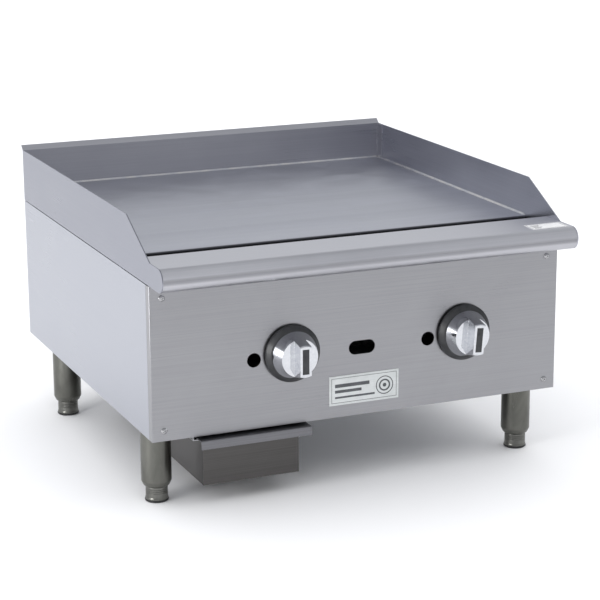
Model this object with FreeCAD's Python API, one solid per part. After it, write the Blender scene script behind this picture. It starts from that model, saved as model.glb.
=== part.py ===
import FreeCAD, Part
import math
import os

os.makedirs("parts", exist_ok=True)
V = FreeCAD.Vector

# Every length is in millimetres. Shapes are drawn from the casing's lower front left corner:
# x runs to the right, y runs to the back, z runs up. save() moves them to the assembly frame,
# whose origin lies on the floor under the middle of the bounding box.

# Overall sizes
WIDTH = 610.0          # casing, 24 in
DEPTH = 595.0          # front panel face to rear face
CASE_H = 213.4         # side panels
LEG_H = 105.0          # floor to casing underside, 4 in legs
SHEET = 1.5            # casing and splash sheet

# Cooking top
PLATE_T = 19.0         # 3/4 in steel plate
PLATE_Z = 236.0        # cooking surface
PLATE_FRONT = 88.0
SPLASH_LOW = 214.6     # lower edge of the splash sheets
SPLASH_TOP = 293.0
SPLASH_BREAK = 86.0    # where the side splash starts to slope
SPLASH_FOOT = -6.5     # where the slope meets the front rail
HEM_BACK = 7.7         # backward tilt of the back splash hem
HEM_UP = 7.0

# Front rail and grease trough
RAIL_TOP = 246.0
NOSE_R = 15.8
NOSE_Y = -40.2         # axis of the rounded nose
RAIL_BACK = 30.0
TROUGH_BACK = 98.0
TROUGH_LOW = 181.0     # floor at the left end
TROUGH_RISE = 18.0     # fall from right to left
DRAIN = (102.0, 61.0)
DRAIN_R = 20.0

# Front panel
KNOB_X = (200.5, 460.5)
KNOB_Z = 100.5
SIGHT_X = (146.0, 406.0)
SIGHT_Z = 96.3
SIGHT_R = 10.0
SLOT = (285.5, 325.0, 86.5, 106.0)
SCREWS = ((17.5, 196.0), (592.5, 196.0), (17.0, 14.3), (593.0, 14.3))
SCREW_R = 2.4
BADGE = (256.0, 361.0, 17.0, 59.0)
LABEL = (548.0, 603.0, -40.0, -11.0)

# Gas train
PIPE_R = 13.35         # 3/4 in pipe
PIPE_BORE = 10.5
MANIFOLD = (135.0, 50.0, 70.0)
SUPPLY_X = 545.0
SUPPLY_END = 625.0
THREAD_R = 13.0
THREAD_LENGTH = 22.0
STEM_R = 4.0
FIT = 0.05

# Burners
BURNER_R = 16.0
BURNER_Z = 140.0
BURNER_FRONT = 185.0
BURNER_REAR = 530.0
BURNER_PITCH = 109.0
PORTS = 17

# Legs
LEGS = {"fl": (26.0, 64.0), "fr": (584.0, 64.0), "bl": (26.0, 484.0), "br": (584.0, 484.0)}
BARREL_R = 21.0
BARREL_STRAIGHT = 75.5
BARREL_END = 83.0
BARREL_HOLLOW = 62.0   # the barrel is hollow down to here, then a guide for the foot
FOOT_R = 15.5
FOOT_GAP = 0.4
FOOT_STEM_R = 7.95

# Grease drawer
DRAWER_X = (74.7, 214.7)
DRAWER_Y = (10.0, 430.0)
DRAWER_Z = (-74.4, -7.3)
DRAWER_T = 1.2
LIP_X = (64.5, 224.5)
LIP_Y = -13.0
LIP_Z = (-15.5, -3.0)

MID_Y = (NOSE_Y - NOSE_R + SUPPLY_END) / 2
CORNER = V(-WIDTH / 2, -MID_Y, LEG_H)


def box(x0, x1, y0, y1, z0, z1):
    return Part.makeBox(x1 - x0, y1 - y0, z1 - z0, V(x0, y0, z0))


def rod(start, end, radius):
    axis = V(*end) - V(*start)
    return Part.makeCylinder(radius, axis.Length, V(*start), axis)


def pipe(start, end, outer, inner):
    return rod(start, end, outer).cut(rod(start, end, inner))


def ball(centre, radius):
    return Part.makeSphere(radius, V(*centre))


def prism(points, shift):
    outline = [V(*p) for p in points]
    face = Part.Face(Part.makePolygon(outline + outline[:1]))
    return face.extrude(V(*shift))


def side_shape(points, x0, x1):
    return prism([(x0, y, z) for y, z in points], (x1 - x0, 0, 0))


def front_shape(points, y0, y1):
    return prism([(x, y0, z) for x, z in points], (0, y1 - y0, 0))


def turned(profile, centre, axis):
    """Turn (radius, height) pairs about the given axis, heights along it."""
    ring = Part.Face(Part.makePolygon([V(r, 0, h) for r, h in profile + profile[:1]]))
    solid = ring.revolve(V(0, 0, 0), V(0, 0, 1), 360)
    solid.Placement = FreeCAD.Placement(V(*centre), FreeCAD.Rotation(V(0, 0, 1), V(*axis)))
    return solid


def hexagon(centre, axis, across, length):
    r = across / math.sqrt(3)
    points = [V(r * math.cos(k * math.pi / 3), r * math.sin(k * math.pi / 3), 0) for k in range(6)]
    solid = Part.Face(Part.makePolygon(points + points[:1])).extrude(V(0, 0, length))
    solid.Placement = FreeCAD.Placement(V(*centre), FreeCAD.Rotation(V(0, 0, 1), V(*axis)))
    return solid


def join(shapes):
    whole = shapes[0]
    if len(shapes) > 1:
        whole = whole.fuse(shapes[1:])
    return whole.removeSplitter()


def mirrored(shape):
    return shape.mirror(V(WIDTH / 2, 0, 0), V(1, 0, 0))


def rounded(shape, radius, chosen):
    edges = [e for e in shape.Edges if chosen(e)]
    return shape.makeFillet(radius, edges)


def save(name, shape):
    solid = shape.copy()
    solid.translate(CORNER)
    if not solid.isValid():
        raise ValueError(name + " is not a valid shape")
    solid.exportStep("parts/" + name + ".step")


# Side splashes: one flat sheet each, ending in the cap that closes the front rail
def splash():
    low = SPLASH_LOW
    outline = [
        (DEPTH, low), (DEPTH, SPLASH_TOP), (SPLASH_BREAK, SPLASH_TOP), (SPLASH_FOOT, RAIL_TOP),
        (NOSE_Y, RAIL_TOP), (NOSE_Y, RAIL_TOP - 2 * NOSE_R), (-2.0, low),
    ]
    sheet = side_shape(outline, 0, SHEET)
    nose_z = RAIL_TOP - NOSE_R
    nose = rod((0, NOSE_Y, nose_z), (SHEET, NOSE_Y, nose_z), NOSE_R)
    return join([sheet, nose])


splash_left = splash()
splash_right = mirrored(splash_left)
save("splash_left", splash_left)
save("splash_right", splash_right)

inner_x = (SHEET, WIDTH - SHEET)
back_y = DEPTH - SHEET

# Back splash: sheet behind the plate, hem tilted backward, side laps folded forward
hem = [
    (back_y, SPLASH_TOP - 3), (DEPTH, SPLASH_TOP - 3), (DEPTH, SPLASH_TOP - 0.7),
    (DEPTH + HEM_BACK, SPLASH_TOP + HEM_UP - 1.1), (DEPTH + HEM_BACK - 1.0, SPLASH_TOP + HEM_UP),
    (back_y, SPLASH_TOP),
]
LAP = 18.5
lap_left = box(SHEET, 2 * SHEET, back_y - LAP, back_y, PLATE_Z + 4, SPLASH_TOP - 1)
back_splash = join([
    box(inner_x[0], inner_x[1], back_y, DEPTH, SPLASH_LOW, SPLASH_TOP - 3),
    side_shape(hem, 0, WIDTH), lap_left, mirrored(lap_left),
])
save("back_splash", back_splash.cut([splash_left, splash_right]))

# Griddle plate with an eased front edge, and the weld beads that fill the groove round it
BEAD = 3.6
BEAD_FRONT = 92.0
plate = box(inner_x[0], inner_x[1], PLATE_FRONT, back_y, PLATE_Z - PLATE_T, PLATE_Z)
plate = rounded(plate, 2.5, lambda e: e.BoundBox.YMax < PLATE_FRONT + 0.1 and e.Length > 100)
side_bead = prism(
    [(SHEET, BEAD_FRONT, PLATE_Z - BEAD), (SHEET + BEAD, BEAD_FRONT, PLATE_Z),
     (SHEET, BEAD_FRONT, PLATE_Z + BEAD)], (0, back_y - BEAD_FRONT, 0),
)
rear_bead = side_shape(
    [(back_y, PLATE_Z - BEAD), (back_y - BEAD, PLATE_Z), (back_y, PLATE_Z + BEAD)],
    inner_x[0], inner_x[1],
)
bead = join([side_bead, mirrored(side_bead), rear_bead])
save("griddle_plate", plate.cut(bead))
save("plate_weld_bead", bead)

# Bullnose front rail: bent sheet, open at the bottom behind the front panel
nose_z = RAIL_TOP - NOSE_R


def rail_solid(inset):
    body = box(inner_x[0], inner_x[1], NOSE_Y, RAIL_BACK - inset,
               RAIL_TOP - 2 * NOSE_R + inset, RAIL_TOP - inset)
    ends = [(x, NOSE_Y, nose_z) for x in inner_x]
    return join([body, rod(ends[0], ends[1], NOSE_R - inset)])


rail_low = RAIL_TOP - 2 * NOSE_R
rail = rail_solid(0).cut(rail_solid(SHEET))
rail = rail.cut([
    box(-1, WIDTH + 1, 3.0, RAIL_BACK - SHEET, rail_low - 1, rail_low + SHEET + 1),
    box(-1, WIDTH + 1, RAIL_BACK - SHEET - 1, RAIL_BACK + 1, rail_low - 1, rail_low + 6),
])
rail = join([rail, box(30, WIDTH - 30, SHEET, 2 * SHEET, rail_low - 20, rail_low + SHEET)])
save("front_rail", rail)

# Grease trough: floor falls from right to left, drain near the left end
T_X = (4.0, WIDTH - 4.0)
t_floor = [(T_X[0], TROUGH_LOW), (T_X[1], TROUGH_LOW + TROUGH_RISE)]


def trough_wall(y0, top):
    points = t_floor + [(T_X[1], top), (T_X[0], top)]
    return front_shape(points, y0, y0 + SHEET)


lifted = [(x, z + SHEET) for x, z in reversed(t_floor)]
trough_floor = front_shape(t_floor + lifted, RAIL_BACK, TROUGH_BACK)


def trough_end(x0, low):
    points = [
        (RAIL_BACK, low), (TROUGH_BACK, low), (TROUGH_BACK, 215.5), (62, 215.5),
        (RAIL_BACK, RAIL_TOP - 3),
    ]
    return side_shape(points, x0, x0 + SHEET)


trough = join([
    trough_floor, trough_wall(RAIL_BACK, RAIL_TOP - 3), trough_wall(TROUGH_BACK - SHEET, 215.5),
    trough_end(T_X[0], TROUGH_LOW + 0.1), trough_end(T_X[1] - SHEET, TROUGH_LOW + TROUGH_RISE),
])
drain_low = (DRAIN[0], DRAIN[1], -2.0)
drain_high = (DRAIN[0], DRAIN[1], 200.0)
save("grease_trough", trough.cut(rod((DRAIN[0], DRAIN[1], 150), drain_high, DRAIN_R - SHEET)))

above = front_shape(t_floor + [(T_X[1], 260), (T_X[0], 260)], 0, TROUGH_BACK + 5)
save("drain_chute", pipe(drain_low, drain_high, DRAIN_R, DRAIN_R - SHEET).cut(above))

# Side panels: flanges all round, front edge joggled inside the front panel's corner
FLANGE = 45.0
panel = [
    box(0, SHEET, 13, DEPTH, 0, CASE_H),
    box(SHEET, FLANGE, 13, back_y - SHEET, 0, SHEET),
    box(SHEET, 26.5, 100, back_y - SHEET, CASE_H - SHEET, CASE_H),
    box(SHEET, 16.5, back_y - SHEET, back_y, 0, CASE_H),
    box(SHEET, 2 * SHEET, SHEET, 16, 3, CASE_H - 3),
    box(SHEET, 28, SHEET, 2 * SHEET, 3, CASE_H - 3),
]
stud_holes = [rod((x, y, -1), (x, y, 20), 5.0) for x, y in LEGS.values()]
screw_holes = [rod((x, -5, z), (x, 20, z), SCREW_R) for x, z in SCREWS]
REAR_SCREWS = [(x, z) for x in (9.0, WIDTH - 9.0) for z in (14.0, 107.0, 200.0)]
rear_holes = [rod((x, DEPTH - 6, z), (x, DEPTH + 5, z), SCREW_R) for x, z in REAR_SCREWS]
side_left = join(panel).cut(stud_holes + screw_holes + rear_holes)
side_right = mirrored(join(panel)).cut(stud_holes + screw_holes + rear_holes)
save("side_panel_left", side_left)
save("side_panel_right", side_right)

# Front panel with wrapped corners, knob, sight and slot openings
knob_holes = [rod((x, -1, KNOB_Z), (x, 4, KNOB_Z), 7.0) for x in KNOB_X]
sight_holes = [rod((x, -1, SIGHT_Z), (x, 4, SIGHT_Z), SIGHT_R) for x in SIGHT_X]
slot_r = (SLOT[3] - SLOT[2]) / 2
slot_z = (SLOT[2] + SLOT[3]) / 2
slot = join([
    box(SLOT[0] + slot_r, SLOT[1] - slot_r, -1, 4, SLOT[2], SLOT[3]),
    rod((SLOT[0] + slot_r, -1, slot_z), (SLOT[0] + slot_r, 4, slot_z), slot_r),
    rod((SLOT[1] - slot_r, -1, slot_z), (SLOT[1] - slot_r, 4, slot_z), slot_r),
])
front = join([
    box(0, WIDTH, 0, SHEET, 0, CASE_H), box(0, SHEET, SHEET, 12, 0, CASE_H),
    box(WIDTH - SHEET, WIDTH, SHEET, 12, 0, CASE_H), box(SHEET, WIDTH - SHEET, SHEET, 12, 0, SHEET),
])
front = rounded(front, 1.4, lambda e: e.BoundBox.YMax < 0.1 and e.BoundBox.XLength < 0.1)
save("front_panel", front.cut(knob_holes + sight_holes + [slot] + screw_holes))

# Rear panel with flue slots at the top and air slots at the bottom
flue_slots = [box(65 + 42 * k, 93 + 42 * k, DEPTH - 5, DEPTH + 5, 168, 198) for k in range(12)]
air_slots = [box(65 + 42 * k, 93 + 42 * k, DEPTH - 5, DEPTH + 5, 22, 30) for k in range(11)]
inlet_hole = rod((SUPPLY_X, DEPTH - 5, MANIFOLD[2]), (SUPPLY_X, DEPTH + 5, MANIFOLD[2]), PIPE_R + 1.5)
rear = box(inner_x[0], inner_x[1], back_y, DEPTH, 0, CASE_H)
save("rear_panel", rear.cut(flue_slots + air_slots + [inlet_hole] + rear_holes))

# Bottom pan on the side flanges
pan = box(inner_x[0], inner_x[1], 15, back_y - SHEET, SHEET, 2 * SHEET)
pan_drain = rod((DRAIN[0], DRAIN[1], 0), (DRAIN[0], DRAIN[1], 5), DRAIN_R + FIT)
save("bottom_pan", pan.cut(stud_holes + [pan_drain]))

# Heat shield between the valve compartment and the burner box
SHIELD_Y = 107.0
SHIELD_T = 1.2


def shield_hole(x, z, radius):
    return rod((x, SHIELD_Y - 5, z), (x, SHIELD_Y + 5, z), radius)


MIXER_R = 18.0
TUBE_R = 3.0
PILOT_Z = 91.0
holes = [shield_hole(x, KNOB_Z, MIXER_R + FIT) for x in KNOB_X]
holes += [shield_hole(x, PILOT_Z, TUBE_R + FIT) for x in SIGHT_X]
holes.append(shield_hole(SUPPLY_X, MANIFOLD[2], PIPE_R + FIT))
shield = box(3, WIDTH - 3, SHIELD_Y, SHIELD_Y + SHIELD_T, 2 * SHEET, 205)
save("heat_shield", shield.cut(holes))

# Cross members that carry the plate
under = PLATE_Z - PLATE_T
save("plate_support_front", join([
    box(inner_x[0], inner_x[1], SHIELD_Y - 3, SHIELD_Y + 27, CASE_H, under),
    box(28, WIDTH - 28, SHIELD_Y - 3, SHIELD_Y, 184, CASE_H),
]))
save("plate_support_rear", join([
    box(inner_x[0], inner_x[1], 556, 588, CASE_H, under),
    box(28, WIDTH - 28, 556, 559, 190, CASE_H),
]))

# Burner rest across the rear of the burner box
save("burner_rest", join([
    box(inner_x[0], inner_x[1], 500, 550, BURNER_Z - BURNER_R - SHEET, BURNER_Z - BURNER_R),
    box(inner_x[0], inner_x[1], 548.5, 550, 95, BURNER_Z - BURNER_R),
]))


# Burners: mixer, rising neck, then a U of two legs joined at the rear
def burner_solid(x, inset):
    r = BURNER_R - inset
    m = MIXER_R - inset
    far = x - BURNER_PITCH
    bend = (x, 130.0, KNOB_Z)
    rise = (x, BURNER_FRONT + 4, BURNER_Z)
    corner_near = (x, BURNER_REAR, BURNER_Z)
    corner_far = (far, BURNER_REAR, BURNER_Z)
    pieces = [
        rod((x, 90 + inset, KNOB_Z), bend, m), ball(bend, m), rod(bend, rise, r - 2), ball(rise, r),
        rod(rise, corner_near, r), ball(corner_near, r), rod(corner_near, corner_far, r),
        ball(corner_far, r), rod((far, BURNER_FRONT + inset, BURNER_Z), corner_far, r),
    ]
    return join(pieces)


MIX_HOLES = 3
MIX_RING = 13.0


def mixer_holes(x, y0, y1, centre_r):
    cuts = [rod((x, y0, KNOB_Z), (x, y1, KNOB_Z), centre_r)]
    for k in range(MIX_HOLES):
        a = 2 * math.pi * k / MIX_HOLES + math.pi / 2
        px = x + MIX_RING * math.cos(a)
        pz = KNOB_Z + MIX_RING * math.sin(a)
        cuts.append(rod((px, y0, pz), (px, y1, pz), 3.4))
    return cuts


for side, x in zip(("left", "right"), KNOB_X):
    tube = burner_solid(x, 0).cut(burner_solid(x, 1.5))
    ports = []
    for leg_x in (x, x - BURNER_PITCH):
        for k in range(PORTS):
            y = BURNER_FRONT + 22 + k * (BURNER_REAR - BURNER_FRONT - 34) / (PORTS - 1)
            ports.append(rod((leg_x, y, BURNER_Z), (leg_x, y, BURNER_Z + 30), 1.8))
    save("burner_" + side, tube.cut(ports + mixer_holes(x, 85, 93, 9.0)))
    disc = rod((x, 88.0, KNOB_Z), (x, 89.4, KNOB_Z), 18.6)
    tab = box(x - 3, x + 3, 88.0, 89.4, KNOB_Z + 18, KNOB_Z + 27)
    save("air_shutter_" + side, join([disc, tab]).cut(mixer_holes(x, 85, 92, 9.0)))

# Manifold, supply elbow and supply pipe to the rear
my, mz = MANIFOLD[1], MANIFOLD[2]
ELBOW_R = 19.0
NECK_R = 8.0
necks = [rod((x, my, mz), (x, my, 92), NECK_R) for x in KNOB_X]
pilot_necks = [rod((x, my, mz), (x, my, 86), 5.0) for x in SIGHT_X]
manifold = pipe((MANIFOLD[0], my, mz), (SUPPLY_X - 22, my, mz), PIPE_R, PIPE_BORE)
save("manifold_pipe", manifold.cut(necks + pilot_necks))
plug = join([
    rod((MANIFOLD[0] - 3, my, mz), (MANIFOLD[0], my, mz), PIPE_R + 3),
    rod((MANIFOLD[0], my, mz), (MANIFOLD[0] + 14, my, mz), PIPE_BORE),
    hexagon((MANIFOLD[0] - 11, my, mz), (1, 0, 0), 17, 8),
])
save("manifold_plug", plug)
corner = (SUPPLY_X, my, mz)


def elbow_solid(r):
    return join([rod((SUPPLY_X - 28, my, mz), corner, r), ball(corner, r + 0.6),
                 rod(corner, (SUPPLY_X, my + 28, mz), r)])


elbow = elbow_solid(ELBOW_R).cut([
    elbow_solid(PIPE_BORE), rod((SUPPLY_X - 40, my, mz), (SUPPLY_X - 22, my, mz), PIPE_R),
    rod((SUPPLY_X, my + 22, mz), (SUPPLY_X, my + 40, mz), PIPE_R),
])
save("supply_elbow", elbow)
supply = pipe((SUPPLY_X, my + 22, mz), (SUPPLY_X, SUPPLY_END, mz), PIPE_R, PIPE_BORE)
thread_y = SUPPLY_END - THREAD_LENGTH
thread = pipe((SUPPLY_X, thread_y, mz), (SUPPLY_X, SUPPLY_END + 1, mz), PIPE_R + 2, THREAD_R)
save("supply_pipe", supply.cut(thread))

# Manifold brackets up from the bottom pan
brackets = []
for x in (232.0, 372.0, 500.0):
    strap = join([
        box(x, x + 16, my - 1.5, my + 1.5, 2 * SHEET + 1.5, mz),
        box(x, x + 16, my - 1.5, my + 22, 2 * SHEET, 2 * SHEET + 1.5),
    ])
    brackets.append(strap.cut(rod((x - 1, my, mz), (x + 17, my, mz), PIPE_R)))
save("manifold_brackets", Part.makeCompound(brackets))

# Valves, jets, pilot valves and pilot burners
for side, x in zip(("left", "right"), KNOB_X):
    bore = rod((x, 10, KNOB_Z), (x, 46, KNOB_Z), STEM_R + FIT)
    bores = [bore, rod((x, 48, KNOB_Z), (x, 70, KNOB_Z), 3.0), rod((x, my, mz), (x, my, 96), 3.0)]
    valve = join([
        box(x - 12, x + 12, 34, 62, 88, 114), rod((x, 22, KNOB_Z), (x, 34, KNOB_Z), 9.0),
        rod((x, my, mz + PIPE_BORE), (x, my, 88), NECK_R),
    ])
    save("gas_valve_" + side, valve.cut(bores))
    jet = join([
        hexagon((x, 62, KNOB_Z), (0, 1, 0), 12, 12),
        turned([(0, 0), (5.5, 0), (5.5, 7), (3.0, 12), (0, 12)], (x, 74, KNOB_Z), (0, 1, 0)),
    ])
    save("gas_jet_" + side, jet.cut(rod((x, 60, KNOB_Z), (x, 90, KNOB_Z), 0.8)))

for side, x in zip(("left", "right"), SIGHT_X):
    body = join([
        box(x - 7, x + 7, my - 10, my + 10, 85, 97), rod((x, my, mz + PIPE_BORE), (x, my, 85), 5.0),
        rod((x, my - 14, PILOT_Z), (x, my - 10, PILOT_Z), 4.0),
    ])
    screw_slot = box(x - 4, x + 4, my - 15, my - 13, PILOT_Z - 0.6, PILOT_Z + 0.6)
    save("pilot_valve_" + side, body.cut(screw_slot))
    line = join([
        rod((x, my + 10, PILOT_Z), (x, 178, PILOT_Z), TUBE_R), ball((x, 178, PILOT_Z), TUBE_R),
        rod((x, 178, PILOT_Z), (x, 178, 146), TUBE_R), rod((x, 178, 146), (x, 178, 164), 5.5),
        rod((x, my + 10, PILOT_Z), (x, my + 18, PILOT_Z), 5.0),
    ])
    save("pilot_burner_" + side, line.cut(rod((x, 172, 158), (x, 184, 158), 2.0)))

# Screws, name plate and blank label
front_screws = []
for x, z in SCREWS:
    head = turned([(0, 0), (4.4, 0), (3.6, 1.6), (0, 2.2)], (x, 0, z), (0, -1, 0))
    front_screws.append(join([head, rod((x, 0, z), (x, 9, z), SCREW_R)]))
save("front_screws", Part.makeCompound(front_screws))
rear_screws = []
for x, z in REAR_SCREWS:
    head = turned([(0, 0), (4.4, 0), (3.6, 1.6), (0, 2.2)], (x, DEPTH, z), (0, 1, 0))
    rear_screws.append(join([head, rod((x, DEPTH - 5, z), (x, DEPTH, z), SCREW_R)]))
save("rear_screws", Part.makeCompound(rear_screws))
badge = box(BADGE[0], BADGE[1], -1.0, 0, BADGE[2], BADGE[3])
save("name_plate", rounded(badge, 2.0, lambda e: abs(e.Length - 1.0) < 0.01))
save("caution_label", box(LABEL[0], LABEL[1], LABEL[2], LABEL[3], RAIL_TOP, RAIL_TOP + 0.3))

# Legs, their mounting plates and nuts
NUT = 15.0
plates = []
nuts = []
for corner_name, (x, y) in LEGS.items():
    barrel = turned(
        [(0, 16), (4.75, 16), (4.75, 0), (BARREL_R, 0), (BARREL_R, -BARREL_STRAIGHT),
         (BARREL_R - 0.8, -BARREL_STRAIGHT - 3.2), (BARREL_R - 2.6, -BARREL_STRAIGHT - 6.0),
         (FOOT_R + 0.4, -BARREL_END), (0, -BARREL_END)], (x, y, 0), (0, 0, 1),
    )
    bore = rod((x, y, -BARREL_END - 1), (x, y, -BARREL_HOLLOW), FOOT_STEM_R + FIT)
    hollow = rod((x, y, -BARREL_HOLLOW), (x, y, -4), BARREL_R - 3)
    save("leg_" + corner_name, barrel.cut([bore, hollow]))
    foot = turned(
        [(0, -43), (FOOT_STEM_R, -43), (FOOT_STEM_R, -BARREL_END - FOOT_GAP),
         (FOOT_R, -BARREL_END - FOOT_GAP), (FOOT_R, -LEG_H + 6), (FOOT_R + 1, -LEG_H + 2),
         (FOOT_R + 1, -LEG_H), (0, -LEG_H)], (x, y, 0), (0, 0, 1),
    )
    save("foot_" + corner_name, foot)
    plate_box = box(x - 21, x + 21, y - 32, y + 32, 2 * SHEET, 2 * SHEET + 3)
    plates.append(plate_box.cut(stud_holes))
    nut = hexagon((x, y, 2 * SHEET + 3), (0, 0, 1), NUT, 8)
    nuts.append(nut.cut(rod((x, y, 0), (x, y, 20), 4.75 + FIT)))
save("leg_mount_plates", Part.makeCompound(plates))
save("leg_nuts", Part.makeCompound(nuts))

# Knobs: black flared skirt, tapered grip body cut away on both sides to leave the grip bar
SKIRT_TOP = 12.4
SKIRT_PROFILE = [
    (36, 2.5), (39.4, 2.5), (40, 3.2), (40, 5.0), (39.2, 6.6), (34.8, 11.4), (33.0, SKIRT_TOP),
    (29.6, SKIRT_TOP), (30.6, 10),
]
SHELF = 30.0
GRIP_TOP = 50.0
GRIP_PROFILE = [
    (0, 2.5), (8, 2.5), (8, SKIRT_TOP), (33.0, SKIRT_TOP), (26.2, SHELF), (22.6, 48.4),
    (21.4, GRIP_TOP), (0, GRIP_TOP),
]
GRIP_HOLLOW = [(8, 2), (29.6, 2), (29.6, SKIRT_TOP), (28.6, 13.4), (23.6, 26), (8, 26)]
GRIP_HALF = 8.1
INSERT = (4.8, 17.3)
KNOB_TILT = {"left": 0.0, "right": 4.5}   # degrees past the closed mark, seen from the front


def tilted(shape, side, x):
    turned_shape = shape.copy()
    turned_shape.rotate(V(x, 0, KNOB_Z), V(0, 1, 0), KNOB_TILT[side])
    return turned_shape


for side, x in zip(("left", "right"), KNOB_X):
    on_stem = ((x, 0, KNOB_Z), (0, -1, 0))
    save("knob_skirt_" + side, turned(SKIRT_PROFILE, *on_stem))
    body = turned(GRIP_PROFILE, *on_stem)
    low, high = KNOB_Z - 45, KNOB_Z + 45
    cuts = [
        rod((x, -34, KNOB_Z), (x, 0, KNOB_Z), STEM_R), turned(GRIP_HOLLOW, *on_stem),
        box(x - 45, x - GRIP_HALF, -60, -SHELF, low, high),
        box(x + GRIP_HALF, x + 45, -60, -SHELF, low, high),
    ]
    low, high = KNOB_Z - INSERT[1], KNOB_Z + INSERT[1]
    cuts.append(box(x - INSERT[0], x + INSERT[0], -60, 1 - GRIP_TOP, low, high))
    save("knob_" + side, tilted(body.cut(cuts), side, x))
    insert = box(x - INSERT[0], x + INSERT[0], -GRIP_TOP - 0.3, 1 - GRIP_TOP, low, high)
    save("knob_insert_" + side, tilted(insert, side, x))
    save("valve_stem_" + side, rod((x, -34, KNOB_Z), (x, 45, KNOB_Z), STEM_R))

# Grease drawer, its pull, and the runners under the casing
dx, dy, dz = DRAWER_X, DRAWER_Y, DRAWER_Z
drawer = box(dx[0], dx[1], dy[0], dy[1], dz[0], dz[1]).cut(
    box(dx[0] + DRAWER_T, dx[1] - DRAWER_T, dy[0] + DRAWER_T, dy[1] - DRAWER_T,
        dz[0] + DRAWER_T, dz[1] + 1))
drawer = join([
    drawer, box(dx[0], dx[1], dy[0], dy[0] + DRAWER_T, dz[1] - 5, LIP_Z[1]),
    box(dx[0] - 10.5, dx[0], 20, dy[1], dz[1] - DRAWER_T, dz[1]),
    box(dx[1], dx[1] + 10.5, 20, dy[1], dz[1] - DRAWER_T, dz[1]),
])
save("grease_drawer", drawer)
pull = join([
    box(LIP_X[0], LIP_X[1], LIP_Y, dy[0], LIP_Z[1] - SHEET, LIP_Z[1]),
    box(LIP_X[0], LIP_X[1], LIP_Y, LIP_Y + SHEET, LIP_Z[0], LIP_Z[1]),
    box(dx[0] + 4, dx[1] - 4, dy[0] - SHEET, dy[0], LIP_Z[1] - 18, LIP_Z[1]),
])
pull = rounded(pull, 1.4, lambda e: e.BoundBox.YMax < LIP_Y + 0.1 and e.BoundBox.ZMin > LIP_Z[1] - 0.1)
save("drawer_pull", pull)

centre_x = (dx[0] + dx[1]) / 2
web = centre_x - dx[0] + 12.7
runner = join([
    box(centre_x - web - 13, centre_x - web, 14, 436, 0, SHEET),
    box(centre_x - web, centre_x - web + SHEET, 14, 436, -10.5, SHEET),
    box(centre_x - web + SHEET, centre_x - web + 11, 14, 436, -10.5, -9.0),
    box(centre_x - web + SHEET, centre_x - web + 11, 434.5, 436, -9.0, SHEET),
])
save("drawer_runner_left", runner)
save("drawer_runner_right", runner.mirror(V(centre_x, 0, 0), V(1, 0, 0)))
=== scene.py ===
import math

import bmesh
import bpy
from mathutils import Matrix, Vector


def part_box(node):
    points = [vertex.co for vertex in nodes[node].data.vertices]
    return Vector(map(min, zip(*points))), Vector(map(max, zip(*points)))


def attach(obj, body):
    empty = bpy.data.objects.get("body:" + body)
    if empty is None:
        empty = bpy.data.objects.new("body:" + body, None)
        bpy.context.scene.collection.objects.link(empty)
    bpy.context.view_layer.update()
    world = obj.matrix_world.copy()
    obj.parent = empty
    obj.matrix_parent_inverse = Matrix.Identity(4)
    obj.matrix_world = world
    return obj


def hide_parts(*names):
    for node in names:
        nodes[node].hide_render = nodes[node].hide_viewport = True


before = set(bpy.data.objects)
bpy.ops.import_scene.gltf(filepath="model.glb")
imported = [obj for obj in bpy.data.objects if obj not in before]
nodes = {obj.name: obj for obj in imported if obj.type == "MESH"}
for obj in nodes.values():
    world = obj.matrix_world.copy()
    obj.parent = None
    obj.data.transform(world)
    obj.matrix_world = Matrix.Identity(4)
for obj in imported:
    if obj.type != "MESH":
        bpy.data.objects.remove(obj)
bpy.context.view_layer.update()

# Lengths in the shape functions are in millimetres, in the assembly frame: x right, y back, z up.
scene = bpy.context.scene
MM = 0.001
MERGE = 0.0004        # points of a new mesh that are closer than this are one
SIDES = ("left", "right")
CORNERS = ("fl", "fr", "bl", "br")


def span(node):
    """Lowest and highest corner of a CAD node, in millimetres."""
    low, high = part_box(node)
    return low / MM, high / MM


def middle(node):
    low, high = span(node)
    return (low + high) / 2


# ------------------------------------------------------------------ mesh helpers

def close_up(bm):
    """Joins doubled points and turns all faces outward."""
    bmesh.ops.remove_doubles(bm, verts=bm.verts, dist=MERGE)
    bmesh.ops.recalc_face_normals(bm, faces=bm.faces)


def finish_mesh(name, bm, body, material, replaced=(), sharp=32.0):
    """Turns a bmesh in millimetres into a piece that rides on a body."""
    close_up(bm)
    bm.transform(Matrix.Scale(MM, 4))
    mesh = bpy.data.meshes.new(name)
    bm.to_mesh(mesh)
    bm.free()
    mesh.set_sharp_from_angle(angle=math.radians(sharp))
    piece = bpy.data.objects.new(name, mesh)
    scene.collection.objects.link(piece)
    mesh.materials.append(material)
    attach(piece, body)
    if replaced:
        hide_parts(*replaced)
    return piece


def rounded(points, steps=4):
    """Rounds the corners of an open outline of (u, v, radius) points."""
    out = [Vector(points[0][:2])]
    for before, here, after in zip(points, points[1:], points[2:]):
        corner = Vector(here[:2])
        back = Vector(before[:2]) - corner
        ahead = Vector(after[:2]) - corner
        turn = math.pi - back.angle(ahead)
        radius = here[2] if len(here) > 2 else 0.0
        if radius <= 0 or turn < 0.02:
            out.append(corner)
            continue
        reach = min(radius * math.tan(turn / 2), 0.49 * back.length, 0.49 * ahead.length)
        start = corner + back.normalized() * reach
        end = corner + ahead.normalized() * reach
        for k in range(steps + 1):
            t = k / steps
            near = start.lerp(corner, t)
            far = corner.lerp(end, t)
            out.append(near.lerp(far, t))
    out.append(Vector(points[-1][:2]))
    return out


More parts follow.
